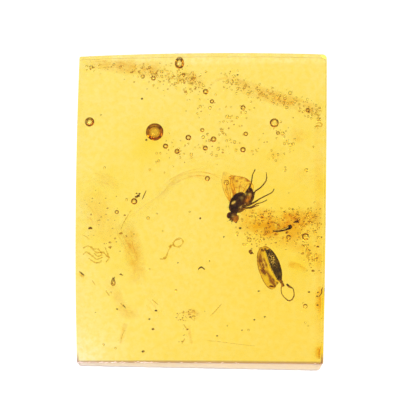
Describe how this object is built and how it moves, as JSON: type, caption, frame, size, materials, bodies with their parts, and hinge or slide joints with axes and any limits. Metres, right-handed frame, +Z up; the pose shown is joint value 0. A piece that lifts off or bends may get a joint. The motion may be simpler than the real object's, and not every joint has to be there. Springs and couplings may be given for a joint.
{
  "type": "insect in amber",
  "caption": "Ground and polished slab of clear amber, thicker at one side, with a small fly, a plant husk and a dark splinter sealed inside.",
  "frame": {"origin": "centre of the bounding box at the flat base that the slab lies on", "axes": "+X along the short side towards the thick edge, +Y along the long side away from the ground front face, +Z up through the polished face"},
  "size_m": [0.0201, 0.0254, 0.0041],
  "materials": {
    "amber": "clear golden resin, polished above, ground on its sides",
    "fly": "dark brown insect skin with amber-brown wings",
    "husk": "olive brown and yellow dried plant skin",
    "splinter": "dark brown dried bark"
  },
  "bodies": {
    "root": {"amber_lower": "amber", "amber_upper": "amber", "fly": "fly", "plant_husk": "husk", "dark_splinter": "splinter"}
  },
  "joints": []
}
